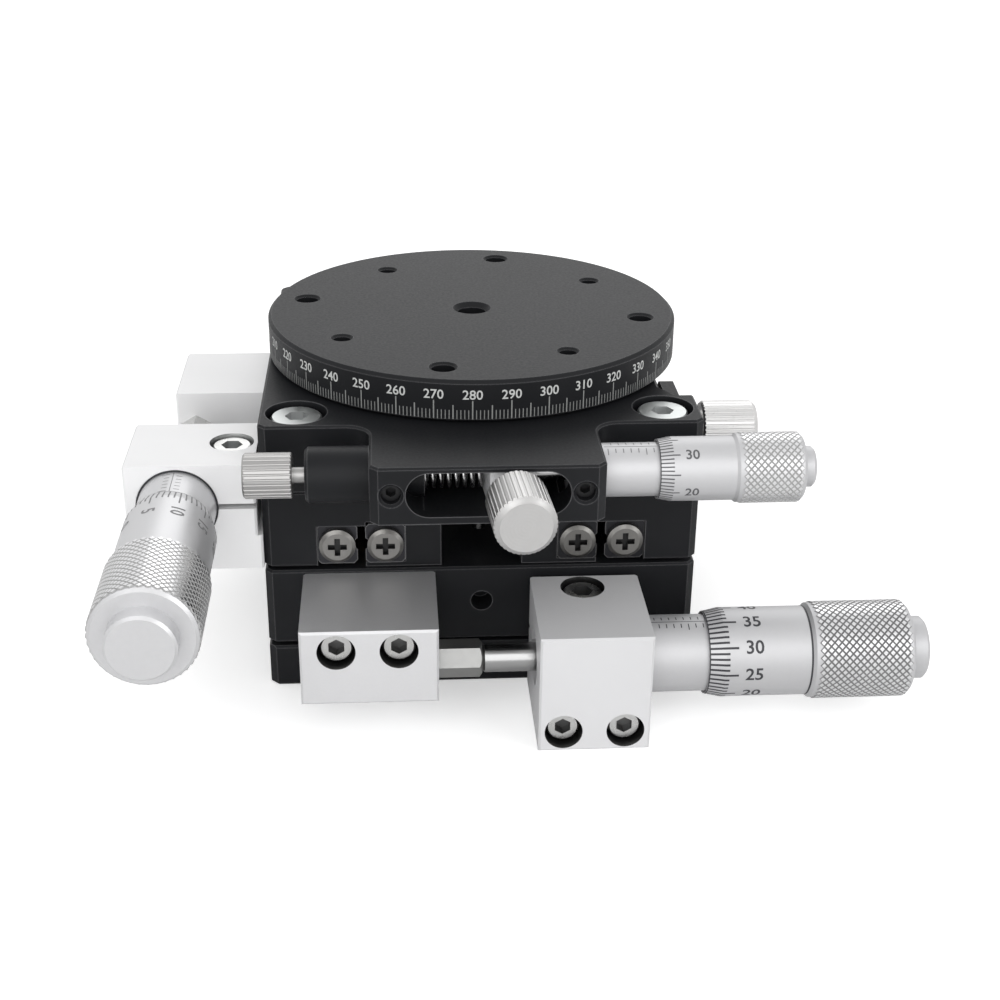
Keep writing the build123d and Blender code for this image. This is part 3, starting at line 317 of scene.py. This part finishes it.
x_block_heads = [(10.0, -47.0, 3.0), (18.3, -47.0, 3.0)]
x_anvil_heads = [(-11.7, -45.0, 14.9), (-19.9, -45.0, 14.9)]
y_block_heads = [(-46.8, -26.4, 21.5), (-46.8, -19.0, 21.5)]
y_anvil_heads = [(-42.6, 0.6, 16.2), (-42.6, 8.8, 16.2)]
x_clamp_head = [(13.65, -34.2, 16.6)]
y_clamp_head = [(-34.2, -22.0, 34.1)]
ear_heads = [(x, y, 39.5) for x in (-ear_at, ear_at) for y in (-ear_at, ear_at)]
signs = (-1, 1)
end_places = [(side * off, end * end_screw_out) for off in end_screws_at for side in signs for end in signs]
end_heads_x = [(across, out, 22.1) for across, out in end_places]
end_heads_y = [(out, across, 10.1) for across, out in end_places]
small_socket = 1.22
clamp_socket = 1.52
ear_socket = 1.62
cross_reach = 1.4
screw_bore = 2.58
clamp_bore = 3.08
to_front = (0, -1, 0)
to_left = (-1, 0, 0)
to_top = (0, 0, 1)
recesses = [
    ("x_block_screws", to_front, x_block_heads, small_socket),
    ("x_anvil_screws", to_front, x_anvil_heads, small_socket),
    ("y_block_screws", to_left, y_block_heads, small_socket),
    ("y_anvil_screws", to_left, y_anvil_heads, small_socket),
    ("x_clamp_screw", to_top, x_clamp_head, clamp_socket),
    ("y_clamp_screw", to_top, y_clamp_head, clamp_socket),
    ("rotary_base_screws", to_top, ear_heads, ear_socket),
    ("y_outer_end_screws", along_y, end_heads_x, cross_reach),
    ("x_table_end_screws", along_y, end_heads_x, cross_reach),
    ("x_table_end_screws", along_x, end_heads_y, cross_reach),
    ("x_inner_end_screws", along_x, end_heads_y, cross_reach),
    ("x_micrometer_block", to_front, row_of(x_block_heads, (0, -1.4, 0)), screw_bore),
    ("x_anvil_block", to_front, row_of(x_anvil_heads, (0, -1.4, 0)), screw_bore),
    ("y_micrometer_block", to_left, row_of(y_block_heads, (-1.4, 0, 0)), screw_bore),
    ("y_anvil_block", to_left, row_of(y_anvil_heads, (-1.4, 0, 0)), screw_bore),
    ("x_micrometer_block", to_top, row_of(x_clamp_head, (0, 0, 0.6)), clamp_bore),
    ("y_micrometer_block", to_top, row_of(y_clamp_head, (0, 0, 0.4)), clamp_bore),
]
pale_painted_shade = ("y_micrometer_block", "y_clamp_screw", "rotary_base_screws")
deep_painted_shade = ("x_micrometer_block", "x_anvil_block", "y_anvil_block",
               "y_outer_end_screws", "x_table_end_screws", "x_inner_end_screws")
least_depth = 0.02
most_depth = 4.0
# Faces inside each recess take the painted shade.
for name, axis, heads, reach in recesses:
    shape = nodes[name].data
    if len(shape.materials) == 1:
        if name in pale_painted_shade:
            shape.materials.append(painted_pale_socket_shade)
        elif name in deep_painted_shade:
            shape.materials.append(painted_hole_shade)
        else:
            shape.materials.append(painted_socket_shade)
    place = nodes[name].matrix_world
    way = Vector(axis)
    for face in shape.polygons:
        middle = place @ face.center / mm
        for head in heads:
            off = middle - Vector(head)
            deep = off.dot(way)
            if least_depth < abs(deep) < most_depth and (off - way * deep).length < reach:
                face.material_index = 1


# Pieces drawn on round faces

class Round:
    """A cylinder in the model: origin and axis, and the direction from which angles are measured."""

    def __init__(self, origin, axis, zero):
        self.origin = Vector(origin)
        self.axis = Vector(axis).normalized()
        self.zero = Vector(zero).normalized()
        self.side = self.axis.cross(self.zero)

    def point(self, angle, along, radius):
        """The point at an angle in degrees about the axis, along it and at a radius, in metres."""
        turn = math.radians(angle)
        place = self.origin + self.axis * along
        place = place + (self.zero * math.cos(turn) + self.side * math.sin(turn)) * radius
        return place * mm


def make_piece(name, verts, faces, material, body, slot, smooth=False):
    """One mesh piece that rides on a body, in the given material. The slot is not used."""
    mesh = bpy.data.meshes.new(name)
    mesh.from_pydata([tuple(v) for v in verts], [], faces)
    mesh.materials.append(material)
    mesh.validate()
    if smooth:
        mesh.polygons.foreach_set("use_smooth", [True] * len(mesh.polygons))
    piece = bpy.data.objects.new(name, mesh)
    bpy.context.scene.collection.objects.link(piece)
    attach(piece, body)
    return piece


def strips(round_, marks, steps=1):
    """Verts and faces of thin bars, each cut into steps round the axis.

    Each mark is (angle 0, angle 1, along 0, along 1, radius 0, radius 1).
    """
    verts = []
    faces = []
    for a0, a1, l0, l1, r0, r1 in marks:
        base = len(verts)
        for k in range(steps + 1):
            angle = a0 + (a1 - a0) * k / steps
            verts.append(round_.point(angle, l0, r0))
            verts.append(round_.point(angle, l1, r1))
        for k in range(steps):
            i = base + 2 * k
            faces.append((i, i + 2, i + 3, i + 1))
    return verts, faces


def bent_text(words, size, round_, angle, along, radius, turn=0.0, bold=0.0):
    """Verts and faces of words laid on a cylinder, their middle at angle and along.

    The letters' height runs along the axis, unless turn rotates them in the surface. They are cut every
    cut_step millimetres, so that their stems follow the cylinder.
    """
    cut_step = 0.35
    curve = bpy.data.curves.new("words", "FONT")
    curve.body = words
    curve.size = size
    curve.align_x = "CENTER"
    curve.align_y = "CENTER"
    curve.resolution_u = 3
    curve.offset = bold
    holder = bpy.data.objects.new("words", curve)
    bpy.context.scene.collection.objects.link(holder)
    bpy.context.view_layer.update()
    mesh = bpy.data.meshes.new_from_object(holder.evaluated_get(bpy.context.evaluated_depsgraph_get()))
    flat = bmesh.new()
    flat.from_mesh(mesh)
    bmesh.ops.rotate(flat, verts=flat.verts, matrix=Matrix.Rotation(math.radians(turn), 3, "Z"))
    reach = max(abs(v.co.x) for v in flat.verts)
    cuts = math.ceil(2 * reach / cut_step)
    for k in range(1, cuts):
        everything = flat.verts[:] + flat.edges[:] + flat.faces[:]
        where = (-reach + k * 2 * reach / cuts, 0, 0)
        bmesh.ops.bisect_plane(flat, geom=everything, plane_co=where, plane_no=(1, 0, 0))
    flat.verts.index_update()
    verts = [round_.point(angle + math.degrees(v.co.x / radius), along + v.co.y, radius) for v in flat.verts]
    faces = [tuple(v.index for v in face.verts) for face in flat.faces]
    flat.free()
    bpy.data.objects.remove(holder)
    bpy.data.curves.remove(curve)
    bpy.data.meshes.remove(mesh)
    return verts, faces


def gather(parts):
    """Joins several (verts, faces) into one."""
    verts = []
    faces = []
    for more_verts, more_faces in parts:
        base = len(verts)
        verts.extend(more_verts)
        faces.extend([tuple(base + i for i in face) for face in more_faces])
    return verts, faces


# Scale on the rim of the rotary table

rim = Round((0, 0, 0), to_top, along_x)
rim_radius = table_radius + lift
marks = []
for degree in range(360):
    long = 2.6 if degree % 10 == 0 else 2.0 if degree % 5 == 0 else 1.3
    wide = 0.17 if degree % 5 == 0 else 0.11
    half = math.degrees(wide / 2 / table_radius)
    at = table_turn + degree
    low = table_low + tick_low
    marks.append((at - half, at + half, low, low + long, rim_radius, rim_radius))
make_piece("table_scale", *strips(rim, marks), grey_mark, "table", "black_anodised")
numbers_at = table_low + number_up
numbers = [bent_text(str(label), number_size, rim, table_turn + label, numbers_at, rim_radius, bold=0.02)
           for label in range(0, 360, 10)]
make_piece("table_numbers", *gather(numbers), white_mark, "table", "black_anodised")


# Micrometer heads

def knurl(name, round_, body, start, end, radius, depth, around, rows, groove):
    """Diamond knurl: pyramids with flat tops at radius, between two crossing sets of grooves depth deep.
    Their sides take the darker material groove, painted shade in the grooves.
    """
    flat = 0.34
    verts = []
    faces = []
    step = 360 / around
    pitch = (end - start) / rows
    edge = radius - depth
    for row in range(rows * 2 + 1):
        along = start + row * pitch / 2
        for k in range(around):
            angle = (k + 0.5 * (row % 2)) * step
            verts.append(round_.point(angle, along, edge))

    def at(row, k):
        return row * around + k % around

    for row in range(rows * 2 - 1):
        shift = row % 2
        for k in range(around):
            low = at(row, k)
            left = at(row + 1, k - 1 + shift)
            right = at(row + 1, k + shift)
            high = at(row + 2, k)
            angle = (k + 0.5 * shift) * step
            along = start + (row + 1) * pitch / 2
            ring = []
            for da, dl in ((0, -flat), (flat, 0), (0, flat), (-flat, 0)):
                ring.append(len(verts))
                verts.append(round_.point(angle + da * step, along + dl * pitch, radius))
            faces.append((ring[0], ring[1], ring[2], ring[3]))
            corners = (low, right, high, left)
            for n in range(4):
                faces.append((corners[n], corners[(n + 1) % 4], ring[(n + 1) % 4], ring[n]))
    piece = make_piece(name, verts, faces, knurled, body, "micrometer_chrome")
    piece.data.materials.append(groove)
    for face in piece.data.polygons:
        face.material_index = 1 if face.index % 5 else 0
    return piece


def thimble_marks(name, round_, body, start, slope_length, low_radius, radius, reading, text, tall,
                  every=5, wide=0.3, ink=dark_mark):
    """50 lines on the bevel of a thimble, every fifth longer, and the numbers beyond some of them.

    reading is the number that faces zero, and the numbers grow against the turn of round_.
    """
    count = 50
    step = 360 / count
    first = 0.12
    longer = 1.45
    rise = (radius - low_radius) / slope_length
    half = math.degrees(wide / 2 / radius)
    letters_at = start + tall * longer + text * 0.85

    def height(along):
        return min(radius, low_radius + rise * along) + lift

    lines = []
    numbers = []
    for k in range(count):
        at = (reading - k) * step
        long = tall * (longer if k % 5 == 0 else 1.0)
        bevel = min(long, slope_length)
        lines.append((at - half, at + half, start + first, start + bevel, height(first), height(bevel)))
        if long > slope_length:
            lines.append((at - half, at + half, start + bevel, start + long, radius + lift, radius + lift))
        if k % every == 0:
            numbers.append(bent_text(str(k), text, round_, at, letters_at, radius + lift, 90, text * 0.016))
    make_piece(name + "_lines", *strips(round_, lines), ink, body, "micrometer_chrome")
    make_piece(name + "_numbers", *gather(numbers), ink, body, "micrometer_chrome")


def sleeve_marks(name, round_, body, start, end, radius, ink):
    """The line along a sleeve with a mark every half millimetre, above and below it by turns."""
    pitch = 0.5
    line_half = math.degrees(0.05 / radius)
    mark_half = 0.065
    off_line = 0.45
    lines = [(-line_half, line_half, start, end, radius + lift, radius + lift)]
    for k in range(math.ceil((end - start) / pitch) - 1):
        along = start + pitch * (k + 1)
        high = 1.1 if k % 10 == 0 else 0.75
        side = 1 if k % 2 == 0 else -1
        ends = sorted(side * math.degrees(far / radius) for far in (off_line, off_line + high))
        lines.append((*ends, along - mark_half, along + mark_half, radius + lift, radius + lift))
    make_piece(name, *strips(round_, lines, 2), ink, body, "micrometer_chrome")


def ring_line(name, round_, body, along_0, along_1, radius_0, radius_1, slot="micrometer_chrome"):
    """A dark ring round a head, from one place along it and radius to another."""
    verts, faces = strips(round_, [(0, 360, along_0, along_1, radius_0, radius_1)], 120)
    make_piece(name, verts, faces, dark_mark, body, slot)


x_start = (x_block_face, x_axis_y, x_axis_z)
y_start = (y_axis_x, y_block_face, y_axis_z)
fine_start = (nose_side, fine_axis_y, fine_axis_z)
x_round = Round(x_start, along_x, (0, -0.12, 1))
y_round = Round(y_start, to_front, to_top)
fine_round = Round(fine_start, along_x, (0, -0.15, 1))

# The numbers of the thimbles are counted from where the photo shows 30 and 26
x_front = Round(x_start, along_x, (0, -0.82, 0.57))
fine_front = Round(fine_start, along_x, (0, -0.94, 0.34))

knurl("x_thimble_knurl", x_round, "x_thimble_body", 22.9, 35.7, large_knurl,
      depth=0.15, around=40, rows=13, groove=painted_knurl_shade)
knurl("y_thimble_knurl", y_round, "y_thimble_body", 21.6, 34.4, large_knurl,
      depth=0.15, around=40, rows=13, groove=painted_pale_knurl_shade)
knurl("fine_thimble_knurl", fine_round, "fine_thimble_body", 18.1, 26.1, fine_knurl,
      depth=0.12, around=30, rows=9, groove=painted_pale_knurl_shade)
thimble_marks("x_thimble", x_front, "x_thimble_body", x_thimble_at, 2.2, large_bevel, large_thimble,
              reading=30, text=2.55, tall=2.7)
thimble_marks("y_thimble", y_round, "y_thimble_body", y_thimble_at, 2.2, large_bevel, large_thimble,
              reading=7.5, text=2.55, tall=2.7, wide=0.2, ink=faint_mark)
thimble_marks("fine_thimble", fine_front, "fine_thimble_body", fine_thimble_at, 1.7, fine_bevel, fine_thimble,
              reading=26, text=1.9, tall=1.8, every=10, wide=0.18, ink=soft_mark)
sleeve_marks("x_sleeve_marks", x_round, "base", 0.2, 22.0, large_sleeve, dark_mark)
sleeve_marks("y_sleeve_marks", y_round, "y_stage", 0.2, 20.0, large_sleeve, faint_mark)
ring_line("x_thimble_edge", x_round, "x_thimble_body", x_thimble_at, x_thimble_at + 0.15, 5.64, 5.68)
ring_line("y_thimble_edge", y_round, "y_thimble_body", y_thimble_at, y_thimble_at + 0.1, 5.64, 5.67)
ring_line("x_knurl_edge", x_round, "x_thimble_body", 21.85, 22.1, large_thimble + 0.02, large_thimble + 0.02)
ring_line("y_knurl_edge", y_round, "y_thimble_body", 20.6, 20.75, large_thimble + 0.02, large_thimble + 0.02)
ring_line("fine_thimble_edge", fine_round, "fine_thimble_body", fine_thimble_at, fine_thimble_at + 0.12,
          3.94, 3.97)
# Dark rings on the block faces round the sleeves: painted shade in the gaps of the bores.
ring_line("x_bore_gap_shade", x_round, "base", 0.02, 0.02, 5.26, 5.45, "satin_block")
ring_line("y_bore_gap_shade", y_round, "y_stage", 0.02, 0.02, 5.26, 5.5, "satin_block")
sleeve_marks("fine_sleeve_marks", fine_round, "y_stage", 0.2, 15.0, fine_sleeve, faint_mark)


# The spring that presses on the arm, drawn as a coil of one length; the real one gets shorter as the arm
# swings towards it

def coil_along_x(name, low, high, outer, wire, turns, material, body, slot):
    """A coil spring along X from low to high, round the axis of the fine head."""
    verts = []
    faces = []
    per_turn = 28
    around = 12
    steps = turns * per_turn
    radius = outer - wire / 2
    centre = Vector((0, fine_axis_y, fine_axis_z))
    rise = (high - low - wire) / steps
    for i in range(steps + 1):
        turn = 2 * math.pi * turns * i / steps - math.pi / 2
        out = Vector((0, math.cos(turn), math.sin(turn)))
        middle = centre + Vector((low + wire / 2 + rise * i, 0, 0)) + out * radius
        for k in range(around):
            angle = 2 * math.pi * k / around
            skin = out * math.cos(angle) + Vector((math.sin(angle), 0, 0))
            verts.append((middle + skin * wire / 2) * mm)
    for i in range(steps):
        for k in range(around):
            a, b = i * around + k, i * around + (k + 1) % around
            faces.append((a, b, b + around, a + around))
    faces.append(tuple(range(around)))
    faces.append(tuple(steps * around + k for k in reversed(range(around))))
    return make_piece(name, verts, faces, material, body, slot, smooth=True)


spring_low, spring_high = (corner[0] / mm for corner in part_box("plunger_spring"))
coil = coil_along_x("plunger_coil", spring_low, spring_high, outer=2.0, wire=0.45, turns=11,
                    material=spring, body="y_stage", slot="spring_wire")
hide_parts("plunger_spring")
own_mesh(coil)


# Floor, light and camera

floor_size = 6.0
floor_height = -0.02 * mm
floor_glow = 0.42
world_light = 0.66
world_seen = 1.0


def stage_floor(name, size, height, material):
    """A square floor under the object, size metres wide."""
    half = size / 2
    mesh = bpy.data.meshes.new(name)
    corners = [(-half, -half, height), (half, -half, height), (half, half, height), (-half, half, height)]
    mesh.from_pydata(corners, [], [(0, 1, 2, 3)])
    mesh.materials.append(material)
    floor = bpy.data.objects.new(name, mesh)
    bpy.context.scene.collection.objects.link(floor)


def white_seen(tree):
    """1 for rays from the camera and for reflected and refracted ones, else 0."""
    path = tree.nodes.new("ShaderNodeLightPath")
    first = tree.nodes.new("ShaderNodeMath")
    first.operation = "MAXIMUM"
    tree.links.new(path.outputs["Is Camera Ray"], first.inputs[0])
    tree.links.new(path.outputs["Is Glossy Ray"], first.inputs[1])
    second = tree.nodes.new("ShaderNodeMath")
    second.operation = "MAXIMUM"
    tree.links.new(first.outputs[0], second.inputs[0])
    tree.links.new(path.outputs["Is Transmission Ray"], second.inputs[1])
    return second


floor_material, floor_tree, floor_shader = nodes_of("floor_white")
floor_shader.inputs["Base Color"].default_value = (0.92, 0.92, 0.92, 1)
floor_shader.inputs["Roughness"].default_value = 0.9
floor_shader.inputs["Specular IOR Level"].default_value = 0.1
floor_shader.inputs["Emission Color"].default_value = (1, 1, 1, 1)

# Where the camera sees the floor, it is a little lighter, and it throws no more light on the object
seen = floor_tree.nodes.new("ShaderNodeLightPath")
glow = floor_tree.nodes.new("ShaderNodeMath")
glow.operation = "MULTIPLY"
glow.inputs[1].default_value = floor_glow
floor_tree.links.new(seen.outputs["Is Camera Ray"], glow.inputs[0])
floor_tree.links.new(glow.outputs[0], floor_shader.inputs["Emission Strength"])
stage_floor("floor", floor_size, floor_height, floor_material)

world = bpy.data.worlds.new("studio")
bpy.context.scene.world = world
world.use_nodes = True
world_tree = world.node_tree
background = world_tree.nodes["Background"]
background.inputs["Color"].default_value = (1, 1, 1, 1)
strength = world_tree.nodes.new("ShaderNodeMapRange")
strength.inputs["To Min"].default_value = world_light
strength.inputs["To Max"].default_value = world_seen
world_tree.links.new(white_seen(world_tree).outputs[0], strength.inputs["Value"])
world_tree.links.new(strength.outputs["Result"], background.inputs["Strength"])


def area_light(name, place, aim, size, power):
    """A square lamp at a place, turned to aim, with its size in metres and its power in watts."""
    lamp = bpy.data.lights.new(name, "AREA")
    lamp.shape = "SQUARE"
    lamp.size = size
    lamp.energy = power
    holder = bpy.data.objects.new(name, lamp)
    holder.location = place
    holder.rotation_euler = (Vector(aim) - Vector(place)).to_track_quat("-Z", "Y").to_euler()
    bpy.context.scene.collection.objects.link(holder)


area_light("key", (-0.22, -0.76, 0.42), aim=(0, 0, 0.02), size=0.8, power=3.4)
area_light("fill", (0.55, -0.5, 0.35), aim=(0, 0, 0.02), size=0.45, power=1.5)
area_light("back", (0.1, 0.7, 0.6), aim=(0, 0, 0.03), size=0.6, power=1.2)

# The camera as fitted to the photo: focal length in pixels of a picture 1000 wide, and lengths in millimetres
focal_pixels = 1610.338
picture_width = 1000
sensor_width = 36.0
turn_z = math.radians(-4.072)
rise = math.radians(25.519)
roll = math.radians(0.702)
camera_far = 253.162
target = Vector((4.554, 0.0, 14.333))

camera_data = bpy.data.cameras.new("camera")
camera_data.sensor_width = sensor_width
camera_data.lens = focal_pixels / picture_width * sensor_width
camera_data.clip_start = 0.01
camera = bpy.data.objects.new("camera", camera_data)
bpy.context.scene.collection.objects.link(camera)
back = Vector((math.sin(turn_z) * math.cos(rise), -math.cos(turn_z) * math.cos(rise), math.sin(rise)))
level = Vector((math.cos(turn_z), math.sin(turn_z), 0))
square = back.cross(level)
right = level * math.cos(roll) + square * math.sin(roll)
up = square * math.cos(roll) - level * math.sin(roll)
camera_place = (target + back * camera_far) * mm
camera.matrix_world = Matrix((
    (right.x, up.x, back.x, camera_place.x),
    (right.y, up.y, back.y, camera_place.y),
    (right.z, up.z, back.z, camera_place.z),
    (0, 0, 0, 1)))
bpy.context.scene.camera = camera
bpy.context.scene.view_settings.view_transform = "Standard"
